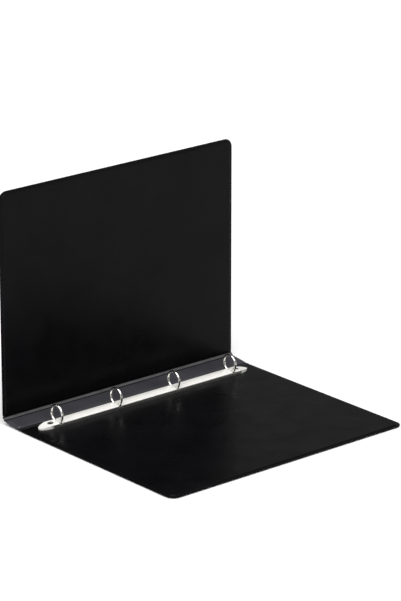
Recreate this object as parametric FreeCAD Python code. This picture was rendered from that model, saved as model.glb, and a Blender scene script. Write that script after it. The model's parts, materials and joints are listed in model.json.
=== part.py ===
"""A4 presentation ring binder with four round rings, standing open.

Frame: +X runs along the spine towards the binder's top end, where the clear pockets open.
The free edge of the back cover is towards -Y, the spine and the front cover are on the +Y
side, and +Z is up.  The origin is the centre of the back cover's underside.  Millimetres.

Each cover panel and the spine panel is a greyboard between two PVC sheets that are welded
together around it, with a clear pocket film outside.  Between two panels the sheets run on
as a narrow web with a crease along each of its long edges.
"""
import FreeCAD, Part
import math
import os

Vector = FreeCAD.Vector

# ---- driving sizes -------------------------------------------------------------------
COVER_HEIGHT = 318.0        # along the spine
COVER_DEPTH = 247.0         # crease axis to free edge
SPINE_WIDTH = 23.0          # crease axis to crease axis
WEB_WIDTH = 4.5             # crease axis to crease axis of one hinge
CORNER_RADIUS = 10.0        # free corners of the covers
HINGE_CORNER_RADIUS = 2.0   # corners beside a hinge

BOARD_THICKNESS = 2.0
SHEET_THICKNESS = 0.3       # black PVC sheet, inside and outside
FILM_THICKNESS = 0.2        # clear pocket film
POCKET_GAP = 0.1            # between the film and the sheet behind it
EDGE_WELD = 3.0             # flat welded rim at the ends and the free edge
HINGE_WELD = 1.2            # flat welded rim beside a crease
SHOULDER_RUN = 0.8          # how far the sheet's slope over the board's edge reaches
BOARD_CLEARANCE = 0.2       # board to the foot of that slope
CREASE_CLEARANCE = 0.2      # web's round edge to the end of a panel's rim
FILM_SET_BACK = 4.5         # pocket mouth below the cover's top edge

REST_SPINE_TILT = 7.0       # spine above the floor, standing open
REST_COVER_ANGLE = 90.0     # front cover above the floor, standing open

RING_PITCH = 80.0
RING_COUNT = 4
RING_MEAN_RADIUS = 9.25
RING_WIRE_RADIUS = 1.35
RING_FOOT_BEND = 2.0        # centre-line radius of the bend above the foot
RING_FOOT_INSET = 1.8       # bottom of that bend to the rail's rocking edge
RING_LEG_LENGTH = 0.75      # straight wire between that bend and the rail
RING_TIP_GAP = 0.1          # each half stops this far from the middle
TIP_PIN_RADIUS = 0.6
TIP_PIN_LENGTH = 0.7
TIP_SOCKET_CLEARANCE = 0.12
TENON_RADIUS = 0.9
TENON_CLEARANCE = 0.02
STAKE_RADIUS = 1.3
STAKE_HEIGHT = 0.4

MECHANISM_TO_CREASE = 12.5  # middle of the mechanism to the back cover's crease axis
SHIELD_WIDTH = 15.0
SHIELD_HEIGHT = 5.0
SHIELD_THICKNESS = 0.7
SHIELD_CROWN_RADIUS = 22.0
SHIELD_CORNER_RADIUS = 1.2
SHIELD_END = 24.0           # end ring to the tip of the nose
NOSE_LENGTH = 18.0          # rounded in plan
NOSE_SLOPE_LENGTH = 21.0
NOSE_TIP_HEIGHT = 1.6
LIP_WIDTH = 0.8
NOTCH_CLEARANCE = 0.3       # around the ring wire
NOTCH_SILL = 2.4            # height of the side wall left below a notch

RAIL_THICKNESS = 1.0
RAIL_SIDE_CLEARANCE = 0.2   # rocking edge to the shield's side wall
RAIL_LIP_CLEARANCE = 0.3    # rocking edge to the shield's lip
RAIL_CLOSED_ANGLE = 6.0     # inner edges down when the rings are closed
RAIL_MIDDLE_GAP = 0.6       # each rail's inner edge to the middle line
RAIL_OVERRUN = 3.4          # rail beyond the end rings

RIVET_OFFSET = 8.7          # rivet outside the end ring
RIVET_SHANK_RADIUS = 1.8
RIVET_BORE_RADIUS = 1.2
RIVET_FLANGE_RADIUS = 2.7
RIVET_FLANGE_HEIGHT = 0.6
RIVET_HEAD_RADIUS = 4.0
RIVET_CLEARANCE = 0.2
WELL_CLEARANCE = 0.2        # rivet flange to the foot of the well
WELL_FLARE = 0.8            # how much wider the well is at the top

# ---- sizes that follow ---------------------------------------------------------------
HALF_HEIGHT = COVER_HEIGHT / 2
CREASE_GAP = SHEET_THICKNESS + CREASE_CLEARANCE                 # crease axis to a rim's end
HALF_BOARD = BOARD_THICKNESS / 2
INNER_FACE = HALF_BOARD + SHEET_THICKNESS                       # above the middle plane
OUTER_FACE = INNER_FACE + POCKET_GAP + FILM_THICKNESS           # below the middle plane
BACK_CREASE_Y = (COVER_DEPTH + CREASE_GAP) / 2
MECHANISM_Y = BACK_CREASE_Y - MECHANISM_TO_CREASE
RING_STATIONS = [RING_PITCH * (i - (RING_COUNT - 1) / 2) for i in range(RING_COUNT)]
END_RING = RING_STATIONS[-1]
SHIELD_HALF_LENGTH = END_RING + SHIELD_END
RIVET_STATION = END_RING + RIVET_OFFSET
PIVOT_OFFSET = SHIELD_WIDTH / 2 - SHIELD_THICKNESS - RAIL_SIDE_CLEARANCE - RAIL_THICKNESS / 2
PIVOT_HEIGHT = SHIELD_THICKNESS + RAIL_LIP_CLEARANCE + RAIL_THICKNESS / 2
SIDES = {"left": -1, "right": 1}


# ---- panel cross-sections: z = 0 is the middle plane, +z the inside of the binder -----
def wall_slope(flange, plateau):
    """Inset gained per unit of height on the slope between rim and plateau."""
    return SHOULDER_RUN / (plateau - flange)


def wall_shift(flange, plateau, thickness):
    """Sideways distance between the two faces of a sloping wall."""
    return thickness * math.hypot(1.0, wall_slope(flange, plateau))


def rounded_outline(panel, end_inset, hinge_inset, z):
    """The panel's outline, inset by one amount at its outer edges and another at hinges."""
    low, high, low_free, high_free = panel
    x = HALF_HEIGHT - end_inset
    y0 = low + (end_inset if low_free else hinge_inset)
    y1 = high - (end_inset if high_free else hinge_inset)
    free_radius = CORNER_RADIUS - end_inset
    r0 = free_radius if low_free else HINGE_CORNER_RADIUS
    r1 = free_radius if high_free else HINGE_CORNER_RADIUS
    d0 = r0 * (1 - math.sqrt(0.5))
    d1 = r1 * (1 - math.sqrt(0.5))

    def at(px, py):
        return Vector(px, py, z)

    edges = [
        Part.makeLine(at(-x + r0, y0), at(x - r0, y0)),
        Part.Arc(at(x - r0, y0), at(x - d0, y0 + d0), at(x, y0 + r0)).toShape(),
        Part.makeLine(at(x, y0 + r0), at(x, y1 - r1)),
        Part.Arc(at(x, y1 - r1), at(x - d1, y1 - d1), at(x - r1, y1)).toShape(),
        Part.makeLine(at(x - r1, y1), at(-x + r1, y1)),
        Part.Arc(at(-x + r1, y1), at(-x + d1, y1 - d1), at(-x, y1 - r1)).toShape(),
        Part.makeLine(at(-x, y1 - r1), at(-x, y0 + r0)),
        Part.Arc(at(-x, y0 + r0), at(-x + d0, y0 + d0), at(-x + r0, y0)).toShape(),
    ]
    return Part.Wire(edges)


def slab(panel, end_inset, hinge_inset, z0, z1):
    """A flat plate with the panel's inset outline between two heights."""
    face = Part.Face(rounded_outline(panel, end_inset, hinge_inset, z0))
    return face.extrude(Vector(0, 0, z1 - z0))


def frustum(panel, end_inset, hinge_inset, gain, z0, z1):
    """A solid whose outline draws in by gain between two heights."""
    foot = rounded_outline(panel, end_inset, hinge_inset, z0)
    top = rounded_outline(panel, end_inset + gain, hinge_inset + gain, z1)
    return Part.makeLoft([foot, top], True, True)


def raised_sheet(panel, end_inset, flange, plateau, thickness):
    """A sheet with a flat rim and a raised middle; end_inset is where its slope begins."""
    hinge_inset = end_inset - EDGE_WELD + HINGE_WELD
    slope = wall_slope(flange, plateau)
    back = wall_shift(flange, plateau, thickness) - slope * thickness
    rim = slab(panel, 0, 0, flange, flange + thickness)
    crown = frustum(panel, end_inset - back, hinge_inset - back, SHOULDER_RUN,
                    flange + thickness, plateau + thickness)
    hollow = frustum(panel, end_inset, hinge_inset, SHOULDER_RUN, flange, plateau)
    return rim.fuse(crown).cut(hollow).removeSplitter()


def flip(shape):
    """The same shape on the other side of the middle plane."""
    return shape.mirror(Vector(0, 0, 0), Vector(0, 0, 1))


def board(panel):
    inset = SHOULDER_RUN + BOARD_CLEARANCE
    return slab(panel, EDGE_WELD + inset, HINGE_WELD + inset, -HALF_BOARD, HALF_BOARD)


def inner_skin(panel):
    return raised_sheet(panel, EDGE_WELD, 0, HALF_BOARD, SHEET_THICKNESS)


def outer_skin(panel):
    return flip(inner_skin(panel))


def pocket_film(panel):
    skin_shift = wall_shift(0, HALF_BOARD, SHEET_THICKNESS)
    skin_foot = EDGE_WELD - skin_shift + wall_slope(0, HALF_BOARD) * SHEET_THICKNESS
    film = raised_sheet(panel, skin_foot - POCKET_GAP, SHEET_THICKNESS,
                        INNER_FACE + POCKET_GAP, FILM_THICKNESS)
    low, high = panel[:2]
    mouth = Part.makeBox(FILM_SET_BACK + 1, high - low + 2, OUTER_FACE + 2,
                         Vector(HALF_HEIGHT - FILM_SET_BACK, low - 1, -1))
    return flip(film.cut(mouth))


def web():
    """The strip between two crease axes, with a round edge on each axis."""
    radius = SHEET_THICKNESS
    x = -HALF_HEIGHT
    strip = Part.makeBox(COVER_HEIGHT, WEB_WIDTH, 2 * radius, Vector(x, 0, -radius))
    for y in (0, WEB_WIDTH):
        edge = Part.makeCylinder(radius, COVER_HEIGHT, Vector(x, y, 0), Vector(1, 0, 0))
        strip = strip.fuse(edge)
    return strip.removeSplitter()


# ---- placing along the hinge chain ---------------------------------------------------
def direction(angle):
    a = math.radians(angle)
    return Vector(0, math.cos(a), math.sin(a))


BACK_WEB_TILT = REST_SPINE_TILT / 2
FRONT_WEB_TILT = (REST_SPINE_TILT + REST_COVER_ANGLE) / 2
CREASES = [Vector(0, BACK_CREASE_Y, OUTER_FACE)]
for span, tilt in ((WEB_WIDTH, BACK_WEB_TILT), (SPINE_WIDTH, REST_SPINE_TILT),
                   (WEB_WIDTH, FRONT_WEB_TILT)):
    CREASES.append(CREASES[-1] + direction(tilt) * span)


def place(shape, crease, angle):
    """Stand a strip or panel on a crease axis at an angle above the floor."""
    placed = shape.copy()
    placed.rotate(Vector(0, 0, 0), Vector(1, 0, 0), angle)
    placed.translate(crease)
    return placed


BACK_PANEL = (-COVER_DEPTH, -CREASE_GAP, True, False)
SPINE_PANEL = (CREASE_GAP, SPINE_WIDTH - CREASE_GAP, False, False)
FRONT_PANEL = (CREASE_GAP, COVER_DEPTH, False, True)


# ---- ring mechanism, with z = 0 at the back cover's inner face and y = 0 at its middle --
def mirrored(shape, side):
    """The right-hand piece as it is, or its left-hand mirror image."""
    return shape if side > 0 else shape.mirror(Vector(0, 0, 0), Vector(0, 1, 0))


def arch_profile(half_width, top, crown_radius, corner_radius, bottom, x):
    """Side walls, rounded shoulders and a shallow crown, closed along the bottom."""
    crown_z = top - crown_radius
    corner_y = half_width - corner_radius
    reach = crown_radius - corner_radius
    corner_z = crown_z + math.sqrt(reach ** 2 - corner_y ** 2)
    lean = math.atan2(corner_z - crown_z, corner_y)
    touch = (crown_radius * math.cos(lean), crown_z + crown_radius * math.sin(lean))
    mid = (corner_y + corner_radius * math.cos(lean / 2),
           corner_z + corner_radius * math.sin(lean / 2))

    def at(y, z):
        return Vector(x, y, z)

    edges = [
        Part.makeLine(at(-half_width, bottom), at(half_width, bottom)),
        Part.makeLine(at(half_width, bottom), at(half_width, corner_z)),
        Part.Arc(at(half_width, corner_z), at(*mid), at(*touch)).toShape(),
        Part.Arc(at(*touch), at(0, top), at(-touch[0], touch[1])).toShape(),
        Part.Arc(at(-touch[0], touch[1]), at(-mid[0], mid[1]),
                 at(-half_width, corner_z)).toShape(),
        Part.makeLine(at(-half_width, corner_z), at(-half_width, bottom)),
    ]
    return Part.Wire(edges)


def nose_plan(inset, z0, z1):
    """The shield's plan outline: straight sides and half-elliptical ends, as a prism."""
    half = SHIELD_WIDTH / 2 - inset
    straight = SHIELD_HALF_LENGTH - NOSE_LENGTH
    prism = Part.makeBox(2 * straight, 2 * half, z1 - z0, Vector(-straight, -half, z0))
    for end in (-1, 1):
        oval = Part.Ellipse(Vector(end * straight, 0, z0), NOSE_LENGTH - inset, half)
        face = Part.Face(Part.Wire(oval.toShape()))
        prism = prism.fuse(face.extrude(Vector(0, 0, z1 - z0)))
    return prism.removeSplitter()


def nose_side(drop, z0):
    """The shield's side outline: level, with a slope down to the tip at each end."""
    level = SHIELD_HALF_LENGTH - NOSE_SLOPE_LENGTH
    half_width = SHIELD_WIDTH
    high = SHIELD_HEIGHT + 1
    slope = (SHIELD_HEIGHT - NOSE_TIP_HEIGHT) / NOSE_SLOPE_LENGTH
    tip = SHIELD_HALF_LENGTH + 1
    tip_z = NOSE_TIP_HEIGHT - slope - drop
    level_z = SHIELD_HEIGHT - drop
    corners = [(-tip, z0), (tip, z0), (tip, tip_z), (level, level_z), (level, high),
               (-level, high), (-level, level_z), (-tip, tip_z), (-tip, z0)]
    wire = Part.makePolygon([Vector(x, -half_width, z) for x, z in corners])
    return Part.Face(wire).extrude(Vector(0, 2 * half_width, 0))


def shield_envelope(inset, bottom):
    """The shield's outside, or its inside when inset by the sheet's thickness."""
    profile = arch_profile(SHIELD_WIDTH / 2 - inset, SHIELD_HEIGHT - inset,
                           SHIELD_CROWN_RADIUS - inset, SHIELD_CORNER_RADIUS - inset,
                           bottom, -SHIELD_HALF_LENGTH)
    arch = Part.Face(profile).extrude(Vector(2 * SHIELD_HALF_LENGTH, 0, 0))
    plan = nose_plan(inset, bottom - 1, SHIELD_HEIGHT + 1)
    return arch.common(plan).common(nose_side(inset, bottom - 1))


def ring_notch(station, side):
    """The opening in the shield that a half ring's leg swings in."""
    room = RING_WIRE_RADIUS + NOTCH_CLEARANCE
    inner = PIVOT_OFFSET - RING_FOOT_INSET - room
    notch = Part.makeBox(2 * room, SHIELD_WIDTH - inner, SHIELD_HEIGHT + 1,
                         Vector(station - room, inner, NOTCH_SILL))
    return mirrored(notch, side)


def ring_shield():
    outside = shield_envelope(0, 0)
    shell = outside.cut(shield_envelope(SHIELD_THICKNESS, -1))
    wall = SHIELD_WIDTH / 2 - SHIELD_THICKNESS
    lip_half = END_RING + RAIL_OVERRUN
    for side in SIDES.values():
        lip = Part.makeBox(2 * lip_half, LIP_WIDTH + SHIELD_THICKNESS / 2, SHIELD_THICKNESS,
                           Vector(-lip_half, wall - LIP_WIDTH, 0))
        shell = shell.fuse(mirrored(lip, side))
    foot = RIVET_FLANGE_RADIUS + WELL_CLEARANCE
    height = SHIELD_HEIGHT + 1
    top = foot + WELL_FLARE
    for station in (-RIVET_STATION, RIVET_STATION):
        well = Part.makeCone(foot + SHIELD_THICKNESS, top + SHIELD_THICKNESS, height,
                             Vector(station, 0, 0))
        hollow = Part.makeCone(foot, top, height, Vector(station, 0, SHIELD_THICKNESS))
        hole = Part.makeCylinder(RIVET_SHANK_RADIUS + RIVET_CLEARANCE, height,
                                 Vector(station, 0, -1))
        shell = shell.fuse(well.common(outside)).cut(hollow).cut(hole)
    for station in RING_STATIONS:
        for side in SIDES.values():
            shell = shell.cut(ring_notch(station, side))
    return shell.removeSplitter()


def tilt_rail(shape):
    """Turn a level right-hand rail, built on its rocking edge, to its closed angle."""
    placed = shape.copy()
    placed.rotate(Vector(0, 0, 0), Vector(1, 0, 0), RAIL_CLOSED_ANGLE)
    placed.translate(Vector(0, PIVOT_OFFSET, PIVOT_HEIGHT))
    return placed


def ring_path():
    """Centre line of a right-hand half ring, found from its foot on the rail.

    Gives the ring's centre height, the angle where its round part ends, the bend's centre
    as (y, z), and the foot's place along the rail.
    """
    tilt = math.radians(RAIL_CLOSED_ANGLE)
    reach = RING_MEAN_RADIUS + RING_FOOT_BEND
    above = RAIL_THICKNESS / 2 + RING_LEG_LENGTH
    along = (above * math.sin(tilt) - RING_FOOT_INSET) / math.cos(tilt)
    foot = (PIVOT_OFFSET - RING_FOOT_INSET,
            PIVOT_HEIGHT + along * math.sin(tilt) + above * math.cos(tilt))
    bend = (foot[0] + RING_FOOT_BEND * math.cos(tilt), foot[1] + RING_FOOT_BEND * math.sin(tilt))
    leave_angle = -math.acos(bend[0] / reach)
    centre_height = bend[1] - reach * math.sin(leave_angle)
    return centre_height, leave_angle, bend, along


def rail(side):
    half_length = END_RING + RAIL_OVERRUN
    half = RAIL_THICKNESS / 2
    width = PIVOT_OFFSET / math.cos(math.radians(RAIL_CLOSED_ANGLE)) - RAIL_MIDDLE_GAP
    plate = Part.makeBox(2 * half_length, width, RAIL_THICKNESS, Vector(-half_length, -width, -half))
    edge = Part.makeCylinder(half, 2 * half_length, Vector(-half_length, 0, 0), Vector(1, 0, 0))
    body = plate.fuse(edge)
    along = ring_path()[-1]
    for station in RING_STATIONS:
        hole = Part.makeCylinder(TENON_RADIUS + TENON_CLEARANCE, 2 * RAIL_THICKNESS,
                                 Vector(station, along, -RAIL_THICKNESS))
        body = body.cut(hole)
    return mirrored(tilt_rail(body.removeSplitter()), side)


def ring_half(station, side):
    """Half a ring: round part, foot bend, shoulder on the rail, tenon and staked head."""
    centre_height, leave_angle, bend_centre = ring_path()[:3]
    tilt = math.radians(RAIL_CLOSED_ANGLE)

    def on_ring(angle):
        return Vector(station, RING_MEAN_RADIUS * math.cos(angle),
                      centre_height + RING_MEAN_RADIUS * math.sin(angle))

    def on_bend(angle):
        return Vector(station, bend_centre[0] + RING_FOOT_BEND * math.cos(angle),
                      bend_centre[1] + RING_FOOT_BEND * math.sin(angle))

    tip_angle = math.pi / 2 - RING_TIP_GAP / RING_MEAN_RADIUS
    round_part = Part.Arc(on_ring(tip_angle), on_ring((tip_angle + leave_angle) / 2),
                          on_ring(leave_angle)).toShape()
    start = leave_angle + math.pi
    end = math.pi + tilt
    bend = Part.Arc(on_bend(start), on_bend((start + end) / 2), on_bend(end)).toShape()
    down = Vector(0, math.sin(tilt), -math.cos(tilt))
    shoulder = on_bend(end) + down * RING_LEG_LENGTH
    leg = Part.makeLine(on_bend(end), shoulder)
    path = Part.Wire([round_part, bend, leg])
    tangent = Vector(0, math.sin(tip_angle), -math.cos(tip_angle))
    section = Part.Wire(Part.Circle(on_ring(tip_angle), tangent, RING_WIRE_RADIUS).toShape())
    wire = path.makePipeShell([section], True, False)
    tenon = Part.makeCylinder(TENON_RADIUS, RAIL_THICKNESS, shoulder, down)
    stake_face = shoulder + down * RAIL_THICKNESS
    stake = Part.makeCylinder(STAKE_RADIUS, STAKE_HEIGHT, stake_face, down)
    half_ring = wire.fuse(tenon).fuse(stake)
    if side > 0:
        depth = TIP_PIN_LENGTH + 2 * RING_TIP_GAP + TIP_SOCKET_CLEARANCE
        socket = Part.makeCylinder(TIP_PIN_RADIUS + TIP_SOCKET_CLEARANCE, depth,
                                   on_ring(tip_angle), tangent)
        half_ring = half_ring.cut(socket)
    else:
        pin = Part.makeCone(TIP_PIN_RADIUS, TIP_PIN_RADIUS / 2, TIP_PIN_LENGTH,
                            on_ring(tip_angle), tangent * -1)
        half_ring = half_ring.fuse(pin)
    return mirrored(half_ring.removeSplitter(), side)


def rivet(station):
    """Semi-tubular rivet through the cover, with z = 0 at the cover's inner face."""
    head_top = -INNER_FACE - HALF_BOARD
    head_bottom = -INNER_FACE - OUTER_FACE
    flange_top = SHIELD_THICKNESS + RIVET_FLANGE_HEIGHT
    head = Part.makeCylinder(RIVET_HEAD_RADIUS, head_top - head_bottom, Vector(station, 0, head_bottom))
    shank = Part.makeCylinder(RIVET_SHANK_RADIUS, flange_top - head_top, Vector(station, 0, head_top))
    flange = Part.makeCylinder(RIVET_FLANGE_RADIUS, RIVET_FLANGE_HEIGHT,
                               Vector(station, 0, SHIELD_THICKNESS))
    bore = Part.makeCylinder(RIVET_BORE_RADIUS, flange_top - head_top, Vector(station, 0, head_top + 0.5))
    return head.fuse(shank).fuse(flange).cut(bore).removeSplitter()


def rivet_holes(shape, radius):
    """Cut both rivet holes through a layer of the back cover, in the panel's own frame."""
    for station in (-RIVET_STATION, RIVET_STATION):
        hole = Part.makeCylinder(radius, 4 * OUTER_FACE,
                                 Vector(station, -MECHANISM_TO_CREASE, -2 * OUTER_FACE))
        shape = shape.cut(hole)
    return shape


def on_cover(shape):
    """Move a mechanism piece to its place on the back cover."""
    placed = shape.copy()
    placed.translate(Vector(0, MECHANISM_Y, OUTER_FACE + INNER_FACE))
    return placed


# ---- the whole binder ----------------------------------------------------------------
def back_cover_nodes():
    shank_hole = RIVET_SHANK_RADIUS + RIVET_CLEARANCE
    head_hole = RIVET_HEAD_RADIUS + RIVET_CLEARANCE
    layers = {
        "back_board": rivet_holes(board(BACK_PANEL), shank_hole),
        "back_inner_skin": rivet_holes(inner_skin(BACK_PANEL), shank_hole),
        "back_outer_skin": rivet_holes(outer_skin(BACK_PANEL), head_hole),
        "back_pocket_film": rivet_holes(pocket_film(BACK_PANEL), head_hole),
    }
    return {name: place(shape, CREASES[0], 0) for name, shape in layers.items()}


def panel_nodes(prefix, panel, crease, angle):
    layers = {
        "board": board(panel),
        "inner_skin": inner_skin(panel),
        "outer_skin": outer_skin(panel),
        "pocket_film": pocket_film(panel),
    }
    return {prefix + "_" + name: place(shape, crease, angle) for name, shape in layers.items()}


def mechanism_nodes():
    nodes = {"ring_shield": ring_shield()}
    for name, side in SIDES.items():
        nodes[name + "_rail"] = rail(side)
        for number, station in enumerate(RING_STATIONS, 1):
            nodes["ring_%d_%s" % (number, name)] = ring_half(station, side)
    nodes["bottom_rivet"] = rivet(-RIVET_STATION)
    nodes["top_rivet"] = rivet(RIVET_STATION)
    return {name: on_cover(shape) for name, shape in nodes.items()}


def all_nodes():
    nodes = back_cover_nodes()
    nodes["back_hinge_web"] = place(web(), CREASES[0], BACK_WEB_TILT)
    nodes.update(panel_nodes("spine", SPINE_PANEL, CREASES[1], REST_SPINE_TILT))
    nodes["front_hinge_web"] = place(web(), CREASES[2], FRONT_WEB_TILT)
    nodes.update(panel_nodes("front", FRONT_PANEL, CREASES[3], REST_COVER_ANGLE))
    nodes.update(mechanism_nodes())
    return nodes


os.makedirs("parts", exist_ok=True)
for node_name, node_shape in all_nodes().items():
    node_shape.exportStep(os.path.join("parts", node_name + ".step"))
    solids = len(node_shape.Solids)
    print("%-18s %s valid=%s solids=%d volume=%.1f" % (
        node_name, node_shape.ShapeType, node_shape.isValid(), solids, node_shape.Volume))
for number, crease in enumerate(CREASES, 1):
    print("crease %d at y=%.4f z=%.4f" % (number, crease.y, crease.z))
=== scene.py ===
"""Ring binder: the looks of an A4 presentation binder with clear outside pockets."""

import json
import math
from collections import namedtuple

import bmesh
import bpy
from bpy.props import (BoolProperty, FloatProperty, FloatVectorProperty, IntProperty,
                       PointerProperty)
from mathutils import Matrix, Vector


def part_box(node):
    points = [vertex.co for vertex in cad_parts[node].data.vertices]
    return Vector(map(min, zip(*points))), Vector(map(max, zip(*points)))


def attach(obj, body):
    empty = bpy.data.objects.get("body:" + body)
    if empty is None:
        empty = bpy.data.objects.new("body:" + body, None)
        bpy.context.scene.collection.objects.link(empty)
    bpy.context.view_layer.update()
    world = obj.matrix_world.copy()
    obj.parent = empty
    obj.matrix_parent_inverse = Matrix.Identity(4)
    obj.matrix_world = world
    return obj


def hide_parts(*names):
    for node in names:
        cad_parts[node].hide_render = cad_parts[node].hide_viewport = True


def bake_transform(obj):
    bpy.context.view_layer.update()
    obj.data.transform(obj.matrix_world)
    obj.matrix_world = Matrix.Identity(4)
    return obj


bl_info = {
    "name": "Ring Binder",
    "version": (1, 0, 0),
    "blender": (4, 5, 0),
    "location": "View3D > Sidebar > Binder",
    "description": "Builds the finished pieces of a standing A4 ring binder",
    "category": "Add Mesh",
}

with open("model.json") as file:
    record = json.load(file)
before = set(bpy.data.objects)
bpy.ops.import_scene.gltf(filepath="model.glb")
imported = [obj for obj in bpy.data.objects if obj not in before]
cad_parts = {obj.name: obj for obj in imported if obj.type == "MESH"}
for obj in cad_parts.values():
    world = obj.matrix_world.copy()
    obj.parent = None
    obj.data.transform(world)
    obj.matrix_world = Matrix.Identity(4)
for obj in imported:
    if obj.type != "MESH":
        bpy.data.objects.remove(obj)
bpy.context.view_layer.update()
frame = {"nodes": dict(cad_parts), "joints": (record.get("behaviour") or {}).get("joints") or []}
JOINTS = {joint["name"]: joint for joint in frame["joints"]}
COVER_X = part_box("back_hinge_web")[1][0]
MM = 0.001
HINGE_SHOULDER = 1.2    # mm from a rim's end at a hinge to the step up to the board
JOINED = 1e-7           # points closer than this are one point
FLAT = 5e-7             # points this near a height lie at it

Panel = namedtuple("Panel", "low high low_free high_free body crease tilt")


def crease(name):
    """Where a crease axis crosses the middle of the binder."""
    return Vector(JOINTS[name]["pos_m"])


def heading(start, end):
    """The angle above the floor of the way from one crease to the next."""
    return math.atan2(end.z - start.z, end.y - start.y)


CREASES = [crease(name) for name in ("back_crease", "back_spine_crease",
                                     "front_spine_crease", "front_crease")]
BACK_WEB_TILT = heading(CREASES[0], CREASES[1])
SPINE_TILT = heading(CREASES[1], CREASES[2])
FRONT_WEB_TILT = heading(CREASES[2], CREASES[3])
COVER_TILT = 2 * FRONT_WEB_TILT - SPINE_TILT


class BinderSizes(bpy.types.PropertyGroup):
    """Sizes of the sheets, films, folds and rings."""

    cover_depth: FloatProperty(name="Cover depth", description="Crease to free edge",
                               default=0.247, unit="LENGTH", precision=4)
    spine_width: FloatProperty(name="Spine width", description="Crease to crease",
                               default=0.023, unit="LENGTH", precision=4)
    crease_gap: FloatProperty(name="Crease gap", description="Crease axis to a rim's end",
                              default=0.0005, unit="LENGTH", precision=4)
    # half widths of the painted highlight along the middle of the back and front hinge strips
    back_highlight_half: FloatProperty(name="Back crease line",
                             description="Half the whitened line along the back strip",
                             default=0.0004, unit="LENGTH", precision=4)
    front_highlight_half: FloatProperty(name="Front crease line",
                              description="Half the whitened line along the front strip",
                              default=0.0014, unit="LENGTH", precision=4)
    corner_radius: FloatProperty(name="Corner radius", description="Free corners",
                                 default=0.010, unit="LENGTH", precision=4)
    hinge_corner_radius: FloatProperty(name="Hinge corner radius",
                                       description="Corners beside a hinge",
                                       default=0.002, unit="LENGTH", precision=4)
    corner_steps: IntProperty(name="Corner steps", description="Segments of a corner",
                              default=12, min=2)
    pocket_set_back: FloatProperty(name="Pocket set back",
                                   description="Pocket mouth below the top edge",
                                   default=0.0045, unit="LENGTH", precision=4)
    fold_step: FloatProperty(name="Fold step", description="Segments along a strip",
                             default=0.0005, unit="LENGTH", precision=4)
    sheet_half: FloatProperty(name="Half sheet pair",
                              description="Middle of a welded pair of sheets to its face",
                              default=0.0003, unit="LENGTH", precision=4)
    rivet_hole: FloatProperty(name="Rivet hole radius",
                              description="Opening around a rivet's head",
                              default=0.0042, unit="LENGTH", precision=4)
    wire_radius: FloatProperty(name="Ring wire radius", description="Half the wire",
                               default=0.00135, unit="LENGTH", precision=5)
    ring_radius: FloatProperty(name="Ring radius", description="To the wire's centre line",
                               default=0.00925, unit="LENGTH", precision=5)
    foot_bend: FloatProperty(name="Foot bend radius", description="Bend above the rail",
                             default=0.002, unit="LENGTH", precision=4)
    foot_inset: FloatProperty(name="Foot inset",
                              description="Bend's lowest point to the rail's rocking edge",
                              default=0.0018, unit="LENGTH", precision=4)
    leg_length: FloatProperty(name="Leg length", description="Straight wire above the rail",
                              default=0.00075, unit="LENGTH", precision=5)
    rail_half: FloatProperty(name="Half rail thickness", description="Half the rail's plate",
                             default=0.0005, unit="LENGTH", precision=4)
    rail_tilt: FloatProperty(name="Rail tilt", description="Closed rails, inner edges down",
                             default=math.radians(6), subtype="ANGLE")
    tip_gap: FloatProperty(name="Tip gap", description="Half ring to the middle",
                           default=0.0001, unit="LENGTH", precision=5)
    stake_radius: FloatProperty(name="Stake radius", description="Neck through the rail",
                                default=0.0009, unit="LENGTH", precision=5)
    stake_head: FloatProperty(name="Stake head radius",
                              description="Riveted head under the rail",
                              default=0.0013, unit="LENGTH", precision=5)


class BinderColours(bpy.types.PropertyGroup):
    """Colours and surface qualities."""

    vinyl: FloatVectorProperty(name="Vinyl", description="Black sheet", subtype="COLOR",
                               default=(0.0032, 0.0032, 0.0038), min=0, max=1)
    vinyl_roughness: FloatProperty(name="Vinyl roughness", description="Gloss of the sheet",
                                   default=0.30, min=0, max=1, subtype="FACTOR")
    film: FloatVectorProperty(name="Film", description="Clear pocket film",
                              subtype="COLOR", default=(0.93, 0.95, 0.96), min=0, max=1)
    nickel: FloatVectorProperty(name="Nickel", description="Plated mechanism",
                                subtype="COLOR", default=(0.90, 0.88, 0.84), min=0, max=1)
    board: FloatVectorProperty(name="Board", description="Grey board", subtype="COLOR",
                               default=(0.36, 0.35, 0.33), min=0, max=1)
    # painted highlight: the lighter colour along the folds, standing in for the light the
    # creases catch
    painted_crease_colour: FloatVectorProperty(name="Crease line",
                                     description="Vinyl whitened along a fold",
                                     subtype="COLOR", default=(0.055, 0.055, 0.058),
                                     min=0, max=1)
    # the grained spine also takes a lighter copy of the black vinyl (the lift below): painted
    # light for the light it catches
    embossed_spine: BoolProperty(name="Embossed spine",
                                 description="Woven grain pressed into the spine",
                                 default=True)
    spine_painted_light: FloatProperty(name="Spine lift",
                              description="How much lighter the woven grain is",
                              default=12.0, min=1)


class BinderStage(bpy.types.PropertyGroup):
    """Floor, lights and camera."""

    floor: FloatVectorProperty(name="Floor", description="Plain pale floor",
                               subtype="COLOR", default=(0.93, 0.93, 0.93), min=0, max=1)
    key_strength: FloatProperty(name="Key light", description="Large soft light overhead",
                                default=3.35, min=0)
    key_softness: FloatProperty(name="Key softness", description="Width of the soft light",
                                default=math.radians(70), subtype="ANGLE")
    side_power: FloatProperty(name="Side light", description="Soft light from the right",
                              default=7.0, unit="POWER")
    room: FloatProperty(name="Room light", description="Even light of the studio",
                        default=0.24, min=0)
    lens: FloatProperty(name="Lens", description="Focal length on a 36 mm sensor",
                        default=197.18, subtype="DISTANCE_CAMERA")
    camera_place: FloatVectorProperty(name="Camera place", description="Where it stands",
                                      default=(-2.10268, -2.44623, 1.23848),
                                      subtype="TRANSLATION")
    camera_turn: FloatProperty(name="Camera turn", description="Turn about the vertical",
                               default=math.radians(-40.4537), subtype="ANGLE")
    camera_drop: FloatProperty(name="Camera drop", description="Tilt below level",
                               default=math.radians(18.7605), subtype="ANGLE")


# ---- materials ----------------------------------------------------------------------

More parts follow.
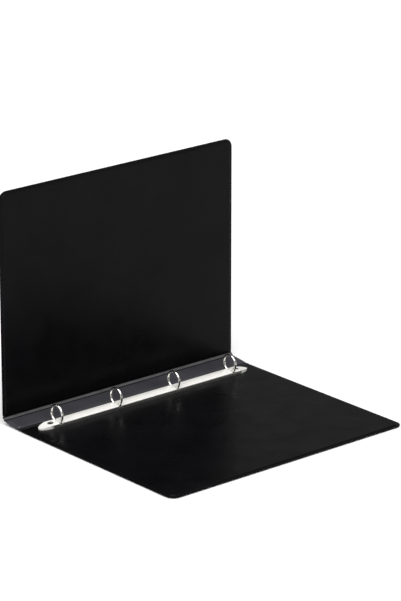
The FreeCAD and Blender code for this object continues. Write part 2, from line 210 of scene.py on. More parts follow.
def fresh_material(name):
    """An empty Principled material with its output."""
    material = bpy.data.materials.new(name)
    material.use_nodes = True
    tree = material.node_tree
    tree.nodes.clear()
    shader = tree.nodes.new("ShaderNodeBsdfPrincipled")
    output = tree.nodes.new("ShaderNodeOutputMaterial")
    tree.links.new(shader.outputs["BSDF"], output.inputs["Surface"])
    place = tree.nodes.new("ShaderNodeTexCoord")
    return material, tree, shader, place.outputs["Object"]


def noise(tree, place, scale, detail=2.0, stretch=(1, 1, 1), roughness=0.5):
    """A noise pattern on the piece's own coordinates."""
    mapping = tree.nodes.new("ShaderNodeMapping")
    mapping.inputs["Scale"].default_value = stretch
    tree.links.new(place, mapping.inputs["Vector"])
    pattern = tree.nodes.new("ShaderNodeTexNoise")
    pattern.inputs["Scale"].default_value = scale
    pattern.inputs["Detail"].default_value = detail
    pattern.inputs["Roughness"].default_value = roughness
    tree.links.new(mapping.outputs["Vector"], pattern.inputs["Vector"])
    return pattern.outputs["Fac"]


def remap(tree, value, low, high, start=0.3, end=0.7):
    """Spread a pattern between two values."""
    node = tree.nodes.new("ShaderNodeMapRange")
    node.inputs["From Min"].default_value = start
    node.inputs["From Max"].default_value = end
    node.inputs["To Min"].default_value = low
    node.inputs["To Max"].default_value = high
    tree.links.new(value, node.inputs["Value"])
    return node.outputs["Result"]


def tint(tree, value, dark, light):
    """Colour that runs between two tones with a pattern."""
    ramp = tree.nodes.new("ShaderNodeValToRGB")
    ramp.color_ramp.elements[0].position = 0.3
    ramp.color_ramp.elements[1].position = 0.7
    ramp.color_ramp.elements[0].color = (*dark, 1)
    ramp.color_ramp.elements[1].color = (*light, 1)
    tree.links.new(value, ramp.inputs["Fac"])
    return ramp.outputs["Color"]


def bump(tree, height, distance, below=None):
    """Relief of a given depth, on top of an earlier one."""
    node = tree.nodes.new("ShaderNodeBump")
    node.inputs["Strength"].default_value = 1.0
    node.inputs["Distance"].default_value = distance
    tree.links.new(height, node.inputs["Height"])
    if below is not None:
        tree.links.new(below, node.inputs["Normal"])
    return node.outputs["Normal"]


def shades(colour, spread):
    """A darker and a lighter tone of one colour."""
    return ([c * (1 - spread) for c in colour], [min(1, c * (1 + spread)) for c in colour])


def woven(tree, place, turn):
    """Two crossed sets of fine ridges, as pressed into book vinyl."""
    bands = []
    for angle in (turn, -turn):
        mapping = tree.nodes.new("ShaderNodeMapping")
        mapping.inputs["Rotation"].default_value = (0, 0, angle)
        tree.links.new(place, mapping.inputs["Vector"])
        wave = tree.nodes.new("ShaderNodeTexWave")
        wave.inputs["Scale"].default_value = 260
        wave.inputs["Distortion"].default_value = 0.6
        wave.inputs["Detail"].default_value = 1.0
        tree.links.new(mapping.outputs["Vector"], wave.inputs["Vector"])
        bands.append(wave.outputs["Fac"])
    cross = tree.nodes.new("ShaderNodeMath")
    cross.operation = "MAXIMUM"
    tree.links.new(bands[0], cross.inputs[0])
    tree.links.new(bands[1], cross.inputs[1])
    return cross.outputs["Value"]


def vinyl_material(name, emboss):
    """Black sheet, smooth and glossy or with a duller woven grain, which is lightened as painted
    light.
    """
    colours = bpy.context.scene.binder_colours
    material, tree, shader, place = fresh_material(name)
    # painted light: the grained spine is a lighter copy of the black vinyl
    painted_light_gain = colours.spine_painted_light if emboss else 1.0
    dark, light = shades([c * painted_light_gain for c in colours.vinyl], 0.25)
    shader.inputs["Specular IOR Level"].default_value = 0.5 if emboss else 0.14
    shader.inputs["IOR"].default_value = 1.5 if emboss else 1.32
    tree.links.new(tint(tree, noise(tree, place, 22, 3), dark, light),
                   shader.inputs["Base Color"])
    rough = colours.vinyl_roughness + (0.12 if emboss else 0.0)
    tree.links.new(remap(tree, noise(tree, place, 35, 4), rough - 0.06, rough + 0.08),
                   shader.inputs["Roughness"])
    relief = bump(tree, noise(tree, place, 9, 1), 0.0006)
    relief = bump(tree, noise(tree, place, 60, 2), 0.00006, relief)
    if emboss:
        relief = bump(tree, woven(tree, place, math.radians(45)), 0.00004, relief)
    relief = bump(tree, noise(tree, place, 1400, 2), 0.000012, relief)
    tree.links.new(relief, shader.inputs["Normal"])
    return material


def crease_highlight_material():
    """Lighter vinyl along the folds: a painted highlight where the creases catch the light."""
    colours = bpy.context.scene.binder_colours
    material, tree, shader, place = fresh_material("crease_highlight_vinyl")
    dark, light = shades(colours.painted_crease_colour, 0.35)
    shader.inputs["Roughness"].default_value = 0.45
    highlight_streaks = noise(tree, place, 90, 3, (1, 4, 4))
    tree.links.new(tint(tree, highlight_streaks, dark, light), shader.inputs["Base Color"])
    tree.links.new(bump(tree, highlight_streaks, 0.00004), shader.inputs["Normal"])
    return material


def film_material():
    """Clear film, slightly uneven."""
    colours = bpy.context.scene.binder_colours
    material, tree, shader, place = fresh_material("clear_pocket_film")
    shader.inputs["Transmission Weight"].default_value = 1.0
    shader.inputs["IOR"].default_value = 1.30
    dark, light = shades(colours.film, 0.02)
    tree.links.new(tint(tree, noise(tree, place, 30), dark, light),
                   shader.inputs["Base Color"])
    tree.links.new(remap(tree, noise(tree, place, 18, 3), 0.10, 0.20),
                   shader.inputs["Roughness"])
    relief = bump(tree, noise(tree, place, 7, 1), 0.0008)
    relief = bump(tree, noise(tree, place, 40, 2), 0.00008, relief)
    tree.links.new(relief, shader.inputs["Normal"])
    return material


def metal_material(name, colour, roughness, brushing, metallic=1.0):
    """Plated or bare metal, brushed along the sides that brushing stretches."""
    material, tree, shader, place = fresh_material(name)
    shader.inputs["Metallic"].default_value = metallic
    dark, light = shades(colour, 0.04)
    tree.links.new(tint(tree, noise(tree, place, 160, 3), dark, light),
                   shader.inputs["Base Color"])
    tree.links.new(remap(tree, noise(tree, place, 300, 3, brushing),
                         roughness - 0.04, roughness + 0.05), shader.inputs["Roughness"])
    relief = bump(tree, noise(tree, place, 260, 2, brushing), 0.000006)
    tree.links.new(relief, shader.inputs["Normal"])
    return material


def shield_material():
    """Satin plating on the crown, polished sides, painted shade inside the two rivet wells."""
    colours = bpy.context.scene.binder_colours
    satin = [min(1, 1.08 * c) for c in colours.nickel]
    material = metal_material("nickel_shield", satin, 0.30, (0.05, 1, 1), 0.12)
    tree = material.node_tree
    shader = tree.nodes["Principled BSDF"]
    place = tree.nodes["Texture Coordinate"].outputs["Object"]
    low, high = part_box("top_rivet")
    centre = ((low[0] + high[0]) / 2, (low[1] + high[1]) / 2, 0)
    mirror = tree.nodes.new("ShaderNodeVectorMath")
    mirror.operation = "ABSOLUTE"
    flatten = tree.nodes.new("ShaderNodeVectorMath")
    flatten.operation = "MULTIPLY"
    flatten.inputs[1].default_value = (1, 1, 0)
    away = tree.nodes.new("ShaderNodeVectorMath")
    away.operation = "DISTANCE"
    away.inputs[1].default_value = centre
    tree.links.new(place, mirror.inputs[0])
    tree.links.new(mirror.outputs["Vector"], flatten.inputs[0])
    tree.links.new(flatten.outputs["Vector"], away.inputs[0])
    # painted shade: near-black colour inside the two rivet wells, where shade falls
    painted_well_shade = remap(tree, away.outputs["Value"], 0.02, 1.0, 0.0031, 0.0037)
    plating = shader.inputs["Base Color"].links[0].from_socket
    mix = tree.nodes.new("ShaderNodeMix")
    mix.data_type = "RGBA"
    mix.inputs["A"].default_value = (0.01, 0.01, 0.01, 1)
    tree.links.new(painted_well_shade, mix.inputs["Factor"])
    tree.links.new(plating, mix.inputs["B"])
    tree.links.new(mix.outputs["Result"], shader.inputs["Base Color"])
    split = tree.nodes.new("ShaderNodeSeparateXYZ")
    tree.links.new(place, split.inputs["Vector"])
    low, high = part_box("ring_shield")
    half = (high[1] - low[1]) / 2
    across = tree.nodes.new("ShaderNodeMath")
    across.operation = "SUBTRACT"
    across.inputs[1].default_value = (low[1] + high[1]) / 2
    width = tree.nodes.new("ShaderNodeMath")
    width.operation = "ABSOLUTE"
    tree.links.new(split.outputs["Y"], across.inputs[0])
    tree.links.new(across.outputs["Value"], width.inputs[0])
    polish = remap(tree, width.outputs["Value"], 0.12, 1.0, half - 0.5 * MM, half - 0.1 * MM)
    tree.links.new(polish, shader.inputs["Metallic"])
    return material


def board_material():
    """Grey board with its fibres."""
    colours = bpy.context.scene.binder_colours
    material, tree, shader, place = fresh_material("grey_board")
    dark, light = shades(colours.board, 0.18)
    shader.inputs["Roughness"].default_value = 0.92
    fibres = noise(tree, place, 700, 6, (1, 6, 6), 0.7)
    tree.links.new(tint(tree, fibres, dark, light), shader.inputs["Base Color"])
    tree.links.new(bump(tree, fibres, 0.00005), shader.inputs["Normal"])
    return material


def finish_of(name):
    """A material by its key, made the first time it is asked for."""
    colours = bpy.context.scene.binder_colours
    makers = {
        "cover_vinyl": lambda: vinyl_material("cover_vinyl", False),
        "spine_vinyl": lambda: vinyl_material("spine_vinyl", colours.embossed_spine),
        "crease_highlight_vinyl": crease_highlight_material,
        "clear_pocket_film": film_material,
        "nickel_shield": shield_material,
        "nickel_rings": lambda: metal_material("nickel_rings", colours.nickel, 0.12,
                                               (1, 1, 1)),
        "steel_rails": lambda: metal_material("steel_rails",
                                              [0.88 * c for c in colours.nickel], 0.30,
                                              (0.05, 1, 1)),
        # rivets darkened to 0.3 of the nickel: painted shade of the deep wells they sit in
        "rivets_painted_shade": lambda: metal_material("rivets_painted_shade",
                                                [0.3 * c for c in colours.nickel], 0.35,
                                                (1, 1, 1)),
        "grey_board": board_material,
    }
    return bpy.data.materials.get(name) or makers[name]()


# ---- mesh helpers -------------------------------------------------------------------

def finish_piece(bm, name, material, body, stands_for, smooth=40):
    """Turn a bmesh into a smooth-shaded piece, riding on a body when one is given."""
    bmesh.ops.recalc_face_normals(bm, faces=bm.faces[:])
    mesh = bpy.data.meshes.new(name)
    bm.to_mesh(mesh)
    bm.free()
    mesh.materials.append(finish_of(material))
    mesh.shade_smooth()
    mesh.set_sharp_from_angle(angle=math.radians(smooth))
    piece = bpy.data.objects.new(name, mesh)
    bpy.context.scene.collection.objects.link(piece)
    if body:
        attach(piece, body)
    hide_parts(*stands_for)
    return piece


def panels():
    """Each panel's local span, free sides, body and place in the binder."""
    sizes = bpy.context.scene.binder_sizes
    depth, width, gap = sizes.cover_depth, sizes.spine_width, sizes.crease_gap
    return {
        "back": Panel(-depth, -gap, True, False, "back_cover", CREASES[0], 0.0),
        "spine": Panel(gap, width - gap, False, False, "spine", CREASES[1], SPINE_TILT),
        "front": Panel(gap, depth, False, True, "front_cover", CREASES[3], COVER_TILT),
    }


def outline(bm, panel, inset, hinge_inset, height):
    """A rounded outline of a panel at one height, as a single flat face."""
    sizes = bpy.context.scene.binder_sizes
    x = COVER_X - inset
    near = panel.low + (inset if panel.low_free else hinge_inset)
    far = panel.high - (inset if panel.high_free else hinge_inset)
    known = set(bm.faces)
    made = bmesh.ops.create_grid(bm, x_segments=1, y_segments=1, size=1.0)
    bmesh.ops.scale(bm, vec=(x, (far - near) / 2, 1), verts=made["verts"])
    bmesh.ops.translate(bm, vec=(0, (near + far) / 2, height), verts=made["verts"])
    for free, y in ((panel.low_free, near), (panel.high_free, far)):
        radius = sizes.corner_radius - inset if free else sizes.hinge_corner_radius
        corners = [v for v in bm.verts
                   if v.link_faces and not any(f in known for f in v.link_faces)
                   and abs(abs(v.co.x) - x) < 1e-6 and abs(v.co.y - y) < 1e-6]
        bmesh.ops.bevel(bm, geom=corners, offset=radius, offset_type="OFFSET",
                        segments=sizes.corner_steps, profile=0.5, affect="VERTICES",
                        material=-1, clamp_overlap=False)
    return [f for f in bm.faces if f not in known][0]


def stack_outlines(bm, panel, levels):
    """Join outlines at successive levels into one closed skin.

    They are joined as a tall tower, so that each pair bridges squarely, and then each
    one is let down to its own height.
    """
    storey = 20 * MM
    faces = [outline(bm, panel, inset * MM, hinge * MM, storey * number)
             for number, (inset, hinge, _) in enumerate(levels)]
    loops = [(list(face.edges), list(face.verts)) for face in faces]
    bmesh.ops.delete(bm, geom=faces[1:-1], context="FACES_ONLY")
    for lower, upper in zip(loops, loops[1:]):
        bmesh.ops.bridge_loops(bm, edges=lower[0] + upper[0])
    for number, (_, verts) in enumerate(loops):
        drop = levels[number][2] * MM - storey * number
        bmesh.ops.translate(bm, vec=(0, 0, drop), verts=verts)
    bmesh.ops.remove_doubles(bm, verts=bm.verts[:], dist=JOINED)
    bm.normal_update()


def place_panel(bm, panel):
    """Turn a panel about its crease and move it there."""
    bmesh.ops.transform(bm, matrix=Matrix.Translation(panel.crease)
                        @ Matrix.Rotation(panel.tilt, 4, "X"), verts=bm.verts[:])


def drop_inner_faces(bm):
    """Delete the faces left inside a body by spins and extrusions."""
    inner = [f for f in bm.faces if all(len(e.link_faces) > 2 for e in f.edges)]
    bmesh.ops.delete(bm, geom=inner, context="FACES")


def shoulder(run):
    """An inset at a hinge, from the step up to the board."""
    return HINGE_SHOULDER + run


def sheet_levels(side):
    """Inset at the free edges, inset at a hinge and height, hidden face first, in mm.

    The rim is a welded band with a pressed line; inside it the sheet steps over the board.
    """
    face = [
        (5.2, shoulder(2.2), 1.00), (4.10, shoulder(1.10), 1.00),
        (3.95, shoulder(0.95), 0.93), (3.30, shoulder(0.30), 0.06),
        (3.15, shoulder(0.15), 0.00), (0.06, 0.02, 0.00), (0.00, 0.00, 0.04),
        (0.00, 0.00, 0.19), (0.03, 0.02, 0.25), (0.10, 0.06, 0.29), (0.20, 0.10, 0.30),
        (0.90, 0.40, 0.30), (1.00, 0.45, 0.27), (1.10, 0.50, 0.21), (1.25, 0.55, 0.19),
        (1.75, 0.75, 0.19), (1.90, 0.80, 0.21), (2.00, 0.85, 0.27), (2.10, 0.90, 0.30),
        (2.85, shoulder(-0.10), 0.30), (3.02, shoulder(0.04), 0.34),
        (3.16, shoulder(0.16), 0.47), (3.32, shoulder(0.32), 0.74),
        (3.46, shoulder(0.46), 1.02), (3.62, shoulder(0.62), 1.20),
        (3.82, shoulder(0.80), 1.28), (4.05, shoulder(1.05), 1.30),
        (5.00, shoulder(2.00), 1.30),
    ]
    return [(inset, near, height * side) for inset, near, height in face]


def film_levels():
    """The same for a pocket film, whose rim lies on the sheet's rim."""
    return [(inset, near, -height) for inset, near, height in (
        (5.2, shoulder(2.2), 1.40), (4.00, shoulder(1.00), 1.40),
        (3.70, shoulder(0.70), 1.32), (3.20, shoulder(0.20), 0.72),
        (2.95, shoulder(-0.05), 0.36), (2.80, shoulder(-0.16), 0.30),
        (0.00, 0.00, 0.30), (0.00, 0.00, 0.42), (0.04, 0.03, 0.48), (0.12, 0.08, 0.50),
        (0.85, 0.40, 0.50), (1.00, 0.46, 0.44), (1.20, 0.54, 0.42), (1.80, 0.76, 0.42),
        (2.00, 0.86, 0.44), (2.15, 0.92, 0.50), (2.62, shoulder(-0.24), 0.50),
        (2.80, shoulder(-0.14), 0.55), (2.98, shoulder(0.00), 0.72),
        (3.30, shoulder(0.30), 1.24), (3.46, shoulder(0.46), 1.46),
        (3.66, shoulder(0.66), 1.57), (3.90, shoulder(0.90), 1.60),
        (5.00, shoulder(2.00), 1.60),
    )]


def rivet_places():
    """The rivets' places on the back cover, from their CAD boxes."""
    places = []
    for node in ("bottom_rivet", "top_rivet"):
        low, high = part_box(node)
        places.append(((low[0] + high[0]) / 2, (low[1] + high[1]) / 2))
    return places


def surrounds(face, point):
    """Whether a level face lies at a point's height and its box holds the point."""
    across = [v.co.x for v in face.verts]
    along = [v.co.y for v in face.verts]
    return (all(abs(v.co.z - point.z) < FLAT for v in face.verts)
            and abs(face.normal.z) > 0.9
            and min(across) - JOINED <= point.x <= max(across) + JOINED
            and min(along) - JOINED <= point.y <= max(along) + JOINED)


def open_rivet_holes(bm, y_shift):
    """Round openings through both faces of a flat area, with their walls.

    Each face is first cut down to a square round the rivet, which the opening replaces.
    """
    sizes = bpy.context.scene.binder_sizes
    plateaus = sorted(bm.faces, key=lambda f: -f.calc_area())[:2]
    heights = [face.calc_center_median().z for face in plateaus]
    half = sizes.rivet_hole * 1.7
    for x, y in rivet_places():
        rims = []
        for height in heights:
            centre = Vector((x, y - y_shift, height))
            for normal in (Vector((1, 0, 0)), Vector((0, 1, 0))):
                for way in (-half, half):
                    face = min((f for f in bm.faces if surrounds(f, centre)),
                               key=lambda f: f.calc_area())
                    bmesh.ops.bisect_plane(bm, geom=[face] + list(face.edges)
                                           + list(face.verts), dist=JOINED,
                                           plane_co=centre + normal * way,
                                           plane_no=normal)
            square = min((f for f in bm.faces
                          if all(abs(v.co.z - height) < FLAT for v in f.verts)),
                         key=lambda f: (f.calc_center_median() - centre).length)
            edges = list(square.edges)
            bmesh.ops.delete(bm, geom=[square], context="FACES_ONLY")
            ring = bmesh.ops.create_circle(bm, cap_ends=False, segments=40,
                                           radius=sizes.rivet_hole,
                                           matrix=Matrix.Translation(centre))
            rim = list({e for v in ring["verts"] for e in v.link_edges})
            bmesh.ops.bridge_loops(bm, edges=edges + rim)
            rims.append(rim)
        bmesh.ops.bridge_loops(bm, edges=rims[0] + rims[1])


# ---- operators ----------------------------------------------------------------------

class BINDER_OT_cover_sheets(bpy.types.Operator):
    """The black vinyl sheets inside and outside both covers and the spine"""

    bl_idname = "binder.cover_sheets"
    bl_label = "Cover Sheets"

    def execute(self, context):
        for key, panel in panels().items():
            for name, side in (("inner_skin", 1), ("outer_skin", -1)):
                node = f"{key}_{name}"
                bm = bmesh.new()
                stack_outlines(bm, panel, sheet_levels(side))
                if node == "back_outer_skin":
                    open_rivet_holes(bm, panel.crease.y)
                place_panel(bm, panel)
                material = "spine_vinyl" if key == "spine" else "cover_vinyl"
                finish_piece(bm, f"{key}_{'inside' if side > 0 else 'outside'}_sheet",
                             material, panel.body, [node], smooth=50)
        return {"FINISHED"}


class BINDER_OT_pocket_films(bpy.types.Operator):
    """The clear pocket films, open at the top end"""

    bl_idname = "binder.pocket_films"
    bl_label = "Pocket Films"

    def execute(self, context):
        sizes = context.scene.binder_sizes
        for key, panel in panels().items():
            bm = bmesh.new()
            stack_outlines(bm, panel, film_levels())
            if key == "back":
                open_rivet_holes(bm, panel.crease.y)
            mouth = Vector((COVER_X - sizes.pocket_set_back, 0, 0))
            cut = bmesh.ops.bisect_plane(bm, geom=bm.verts[:] + bm.edges[:] + bm.faces[:],
                                         dist=JOINED, plane_co=mouth, plane_no=(1, 0, 0),
                                         clear_outer=True)
            lip = [e for e in cut["geom_cut"] if isinstance(e, bmesh.types.BMEdge)]
            bmesh.ops.holes_fill(bm, edges=lip, sides=0)
            place_panel(bm, panel)
            finish_piece(bm, f"{key}_clear_pocket", "clear_pocket_film", panel.body,
                         [f"{key}_pocket_film"], smooth=50)
        return {"FINISHED"}


class BINDER_OT_hinge_folds(bpy.types.Operator):
    """The flexible strips of welded vinyl between the covers and the spine"""

    bl_idname = "binder.hinge_folds"
    bl_label = "Hinge Folds"

    def fold(self, name, axis, before, after, from_middle, bodies, node):
        """Half a strip: from a panel's rim, round one crease, to the strip's middle.

        With from_middle it runs the other way, from the strip's middle to the rim.
        """
        sizes = bpy.context.scene.binder_sizes
        half, gap = sizes.sheet_half, sizes.crease_gap
        turn = after - before
        into = Vector((0, math.cos(before), math.sin(before)))
        out = Vector((0, math.cos(after), math.sin(after)))
        run = gap * 0.9
        radius = run / math.tan(abs(turn) / 2)
        up = Vector((0, -math.sin(before), math.cos(before)))
        centre = axis - into * run + up * radius
        back = node == "back_hinge_web"
        web = CREASES[:2] if back else CREASES[2:]
        # half width of the painted highlight along the strip's middle
        reach = sizes.back_highlight_half if back else sizes.front_highlight_half
        half_web = (web[1] - web[0]).length / 2
        lead, tail = (half_web, gap) if from_middle else (gap, half_web)
        start = axis - into * lead
        bm = bmesh.new()
        made = bmesh.ops.create_grid(bm, x_segments=1, y_segments=1, size=1.0)
        bmesh.ops.scale(bm, vec=(COVER_X, half, 1), verts=made["verts"])
        bmesh.ops.transform(bm, matrix=Matrix.Translation(start)
                            @ Matrix.Rotation(before + math.pi / 2, 4, "X"),
                            verts=made["verts"])
        face = bm.faces[:][0]

        def push(face, way):
            grown = bmesh.ops.extrude_face_region(bm, geom=[face])
            verts = [v for v in grown["geom"] if isinstance(v, bmesh.types.BMVert)]
            bmesh.ops.translate(bm, vec=way, verts=verts)
            return [f for f in grown["geom"] if isinstance(f, bmesh.types.BMFace)][0]

        steps = max(1, round((lead - run) / sizes.fold_step))
        for _ in range(steps):
            face = push(face, into * (lead - run) / steps)
        spun = bmesh.ops.spin(bm, geom=[face], cent=centre, axis=(1, 0, 0), angle=turn,
                              steps=8, dvec=(0, 0, 0), use_merge=False)
        face = [f for f in spun["geom_last"] if isinstance(f, bmesh.types.BMFace)][0]
        steps = max(1, round((tail - run) / sizes.fold_step))
        for _ in range(steps):
            face = push(face, out * (tail - run) / steps)
        bmesh.ops.remove_doubles(bm, verts=bm.verts[:], dist=JOINED)
        drop_inner_faces(bm)
        piece = finish_piece(bm, name, "cover_vinyl", None, [node],
                             smooth=40)
        piece.data.materials.append(finish_of("crease_highlight_vinyl"))
        # faces near the strip's middle take the painted crease highlight
        middle = (web[0] + web[1]) / 2
        for polygon in piece.data.polygons:
            away = polygon.center - middle
            if math.hypot(away.y, away.z) < reach:
                polygon.material_index = 1
        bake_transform(piece)

    def execute(self, context):
        folds = (
            ("back_fold_cover_side", CREASES[0], 0.0, BACK_WEB_TILT, False,
             ("back_cover", "back_web"), "back_hinge_web"),
            ("back_fold_spine_side", CREASES[1], BACK_WEB_TILT, SPINE_TILT, True,
             ("back_web", "spine"), "back_hinge_web"),
            ("front_fold_spine_side", CREASES[2], SPINE_TILT, FRONT_WEB_TILT, False,
             ("spine", "front_web"), "front_hinge_web"),
            ("front_fold_cover_side", CREASES[3], FRONT_WEB_TILT, COVER_TILT, True,
             ("front_web", "front_cover"), "front_hinge_web"),
        )
        for fold in folds:
            self.fold(*fold)
        return {"FINISHED"}


class BINDER_OT_ring_halves(bpy.types.Operator):
    """The eight half rings of round wire, each with its foot bend and staked end"""

    bl_idname = "binder.ring_halves"
    bl_label = "Ring Halves"

    def execute(self, context):
        sizes = context.scene.binder_sizes
        pivots = [Vector(JOINTS[n]["pos_m"]) for n in ("left_rail_rock", "right_rail_rock")]
        middle = (pivots[0] + pivots[1]) / 2
        offset = abs(pivots[1].y - middle.y)
        tilt, reach = sizes.rail_tilt, sizes.ring_radius + sizes.foot_bend
        above = sizes.rail_half + sizes.leg_length
        along = (above * math.sin(tilt) - sizes.foot_inset) / math.cos(tilt)
        foot = Vector((0, offset - sizes.foot_inset,
                       along * math.sin(tilt) + above * math.cos(tilt)))
        bend = foot + sizes.foot_bend * Vector((0, math.cos(tilt), math.sin(tilt)))
        leave = -math.acos(bend.y / reach)
        centre = Vector((0, 0, bend.z - reach * math.sin(leave)))
        down = Vector((0, math.sin(tilt), -math.cos(tilt)))
        for number in range(1, 5):
            for side, name in ((-1, "left"), (1, "right")):
                bm = self.half_ring(sizes, side, centre, bend, leave, down)
                node = f"ring_{number}_{name}"
                low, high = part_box(node)
                place = ((low[0] + high[0]) / 2, middle.y, middle.z)
                bmesh.ops.translate(bm, vec=place, verts=bm.verts[:])
                finish_piece(bm, f"half_ring_{number}_{name}", "nickel_rings",
                             f"{name}_rail", [node], smooth=35)
        return {"FINISHED"}

    def half_ring(self, sizes, side, centre, bend, leave, down):
        """One half, from its tip round the ring and the foot bend to the staked end."""
        bm = bmesh.new()
        tip = math.pi / 2 - sizes.tip_gap / sizes.ring_radius
        start = centre + sizes.ring_radius * Vector((0, math.cos(tip), math.sin(tip)))
        facing = Matrix.Rotation(tip, 4, "X")
        bmesh.ops.create_circle(bm, cap_ends=True, segments=28,
                                radius=sizes.wire_radius,
                                matrix=Matrix.Translation(start) @ facing)
        face = bm.faces[:][0]
        spun = bmesh.ops.spin(bm, geom=[face], cent=centre, axis=(1, 0, 0),
                              angle=leave - tip, steps=44, dvec=(0, 0, 0),
                              use_merge=False)
        face = [f for f in spun["geom_last"] if isinstance(f, bmesh.types.BMFace)][0]
        spun = bmesh.ops.spin(bm, geom=[face], cent=bend, axis=(1, 0, 0),
                              angle=sizes.rail_tilt - leave, steps=16, dvec=(0, 0, 0),
                              use_merge=False)
        face = [f for f in spun["geom_last"] if isinstance(f, bmesh.types.BMFace)][0]
        neck = sizes.stake_radius / sizes.wire_radius
        head = sizes.stake_head / sizes.stake_radius
        for length, scale in ((sizes.leg_length, 1.0), (0.0, neck),
                              (2 * sizes.rail_half, 1.0), (0.0, head),
                              (0.4 * MM, 1.0), (0.0, 0.8)):
            grown = bmesh.ops.extrude_face_region(bm, geom=[face])
            verts = [v for v in grown["geom"] if isinstance(v, bmesh.types.BMVert)]
            face = [f for f in grown["geom"] if isinstance(f, bmesh.types.BMFace)][0]
            bmesh.ops.translate(bm, vec=down * length, verts=verts)
            about = face.calc_center_median()
            bmesh.ops.scale(bm, vec=(scale, scale, scale), verts=verts,
                            space=Matrix.Translation(-about))
        bmesh.ops.remove_doubles(bm, verts=bm.verts[:], dist=JOINED)
        drop_inner_faces(bm)
        flat = min(bm.faces, key=lambda f: (f.calc_center_median() - start).length)
        self.shape_tip(bm, flat, side)
        if side < 0:
            bmesh.ops.scale(bm, vec=(1, -1, 1), verts=bm.verts[:])
        return bm

    def shape_tip(self, bm, flat, side):
        """A rounded rim, with a tapered pin on left halves and its socket on right ones."""
        out = Vector((0, -1, 0))
        bmesh.ops.inset_region(bm, faces=[flat], thickness=0.12 * MM, depth=0,
                               use_even_offset=True)
        if side < 0:
            bmesh.ops.inset_region(bm, faces=[flat], thickness=0.60 * MM, depth=0,
                                   use_even_offset=True)
            grown = bmesh.ops.extrude_face_region(bm, geom=[flat])
            verts = [v for v in grown["geom"] if isinstance(v, bmesh.types.BMVert)]
            cap = [f for f in grown["geom"] if isinstance(f, bmesh.types.BMFace)][0]
            about = cap.calc_center_median()
            bmesh.ops.scale(bm, vec=(0.55, 0.55, 0.55), verts=verts,
                            space=Matrix.Translation(-about))
            bmesh.ops.translate(bm, vec=out * 0.68 * MM, verts=verts)
        else:
            bmesh.ops.inset_region(bm, faces=[flat], thickness=0.50 * MM, depth=0,
                                   use_even_offset=True)
            grown = bmesh.ops.extrude_face_region(bm, geom=[flat])
            verts = [v for v in grown["geom"] if isinstance(v, bmesh.types.BMVert)]
            bmesh.ops.translate(bm, vec=-out * 1.0 * MM, verts=verts)
        drop_inner_faces(bm)


class BINDER_OT_mechanism(bpy.types.Operator):
    """Finishes for the shield, the rails, the rivets and the boards"""

    bl_idname = "binder.mechanism"
    bl_label = "Mechanism and Boards"

    def execute(self, context):
        finishes = {
            "ring_shield": "nickel_shield", "left_rail": "steel_rails",
            "right_rail": "steel_rails", "bottom_rivet": "rivets_painted_shade",
            "top_rivet": "rivets_painted_shade", "back_board": "grey_board",
            "spine_board": "grey_board", "front_board": "grey_board",
        }
        for node, material in finishes.items():
            mesh_object = frame["nodes"][node]
            if not mesh_object.material_slots:
                raise RuntimeError(f"{node} has no material slot")
            for slot in mesh_object.material_slots:
                slot.material = finish_of(material)
        return {"FINISHED"}


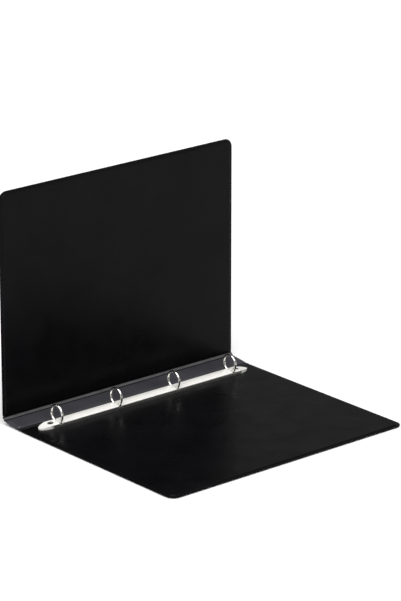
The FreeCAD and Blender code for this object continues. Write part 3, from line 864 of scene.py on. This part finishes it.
class BINDER_OT_stage(bpy.types.Operator):
    """Floor, lights and camera"""

    bl_idname = "binder.stage"
    bl_label = "Stage"

    def add_light(self, name, light, place, way):
        """Hang a light at a place, shining one way."""
        lamp = bpy.data.objects.new(name, light)
        lamp.rotation_euler = Vector(way).to_track_quat("-Z", "Y").to_euler()
        lamp.location = place
        bpy.context.scene.collection.objects.link(lamp)

    def execute(self, context):
        scene = context.scene
        stage = scene.binder_stage
        bm = bmesh.new()
        bmesh.ops.create_grid(bm, x_segments=1, y_segments=1, size=14.0)
        mesh = bpy.data.meshes.new("floor")
        bm.to_mesh(mesh)
        bm.free()
        floor = bpy.data.objects.new("floor", mesh)
        scene.collection.objects.link(floor)
        material, tree, shader, place = fresh_material("pale_floor")
        dark, light = shades(stage.floor, 0.004)
        tree.links.new(tint(tree, noise(tree, place, 3), dark, light),
                       shader.inputs["Base Color"])
        shader.inputs["Roughness"].default_value = 0.9
        shader.inputs["Specular IOR Level"].default_value = 0.1
        mesh.materials.append(material)

        world = bpy.data.worlds.new("studio")
        world.use_nodes = True
        world.node_tree.nodes["Background"].inputs["Color"].default_value = (1, 1, 1, 1)
        world.node_tree.nodes["Background"].inputs["Strength"].default_value = stage.room
        scene.world = world
        sun = bpy.data.lights.new("key", "SUN")
        sun.energy, sun.angle = stage.key_strength, stage.key_softness
        self.add_light("key", sun, (0, 0, 0), (0.42, 0.30, -1.0))
        panel = bpy.data.lights.new("side", "AREA")
        panel.shape = "RECTANGLE"
        panel.size, panel.size_y = 1.4, 1.4
        panel.energy = stage.side_power
        self.add_light("side", panel, (1.5, -0.5, 2.2), (-1.45, 0.6, -2.2))

        camera_data = bpy.data.cameras.new("camera")
        camera_data.sensor_fit = "AUTO"
        camera_data.sensor_width = 36.0
        camera_data.lens = stage.lens
        camera_data.clip_end = 60
        camera = bpy.data.objects.new("camera", camera_data)
        camera.location = stage.camera_place
        camera.rotation_euler = (math.pi / 2 - stage.camera_drop, 0, stage.camera_turn)
        scene.collection.objects.link(camera)
        scene.camera = camera
        scene.view_settings.view_transform = "Standard"
        return {"FINISHED"}


class BINDER_PT_panel(bpy.types.Panel):
    """Lists the binder's pieces in the sidebar"""

    bl_label = "Ring Binder"
    bl_idname = "BINDER_PT_panel"
    bl_space_type = "VIEW_3D"
    bl_region_type = "UI"
    bl_category = "Binder"

    def draw(self, context):
        for operator in OPERATORS:
            self.layout.operator(operator.bl_idname)


OPERATORS = (BINDER_OT_cover_sheets, BINDER_OT_hinge_folds, BINDER_OT_pocket_films,
             BINDER_OT_ring_halves, BINDER_OT_mechanism, BINDER_OT_stage)
GROUPS = {"binder_sizes": BinderSizes, "binder_colours": BinderColours,
          "binder_stage": BinderStage}


def register():
    for name, group in GROUPS.items():
        bpy.utils.register_class(group)
        setattr(bpy.types.Scene, name, PointerProperty(type=group))
    for cls in (*OPERATORS, BINDER_PT_panel):
        bpy.utils.register_class(cls)


def unregister():
    for cls in reversed((*OPERATORS, BINDER_PT_panel)):
        bpy.utils.unregister_class(cls)
    for name, group in GROUPS.items():
        delattr(bpy.types.Scene, name)
        bpy.utils.unregister_class(group)


def main():
    register()
    bpy.ops.binder.cover_sheets()
    bpy.ops.binder.hinge_folds()
    bpy.ops.binder.pocket_films()
    bpy.ops.binder.ring_halves()
    bpy.ops.binder.mechanism()
    bpy.ops.binder.stage()


if __name__ == "__main__":
    main()
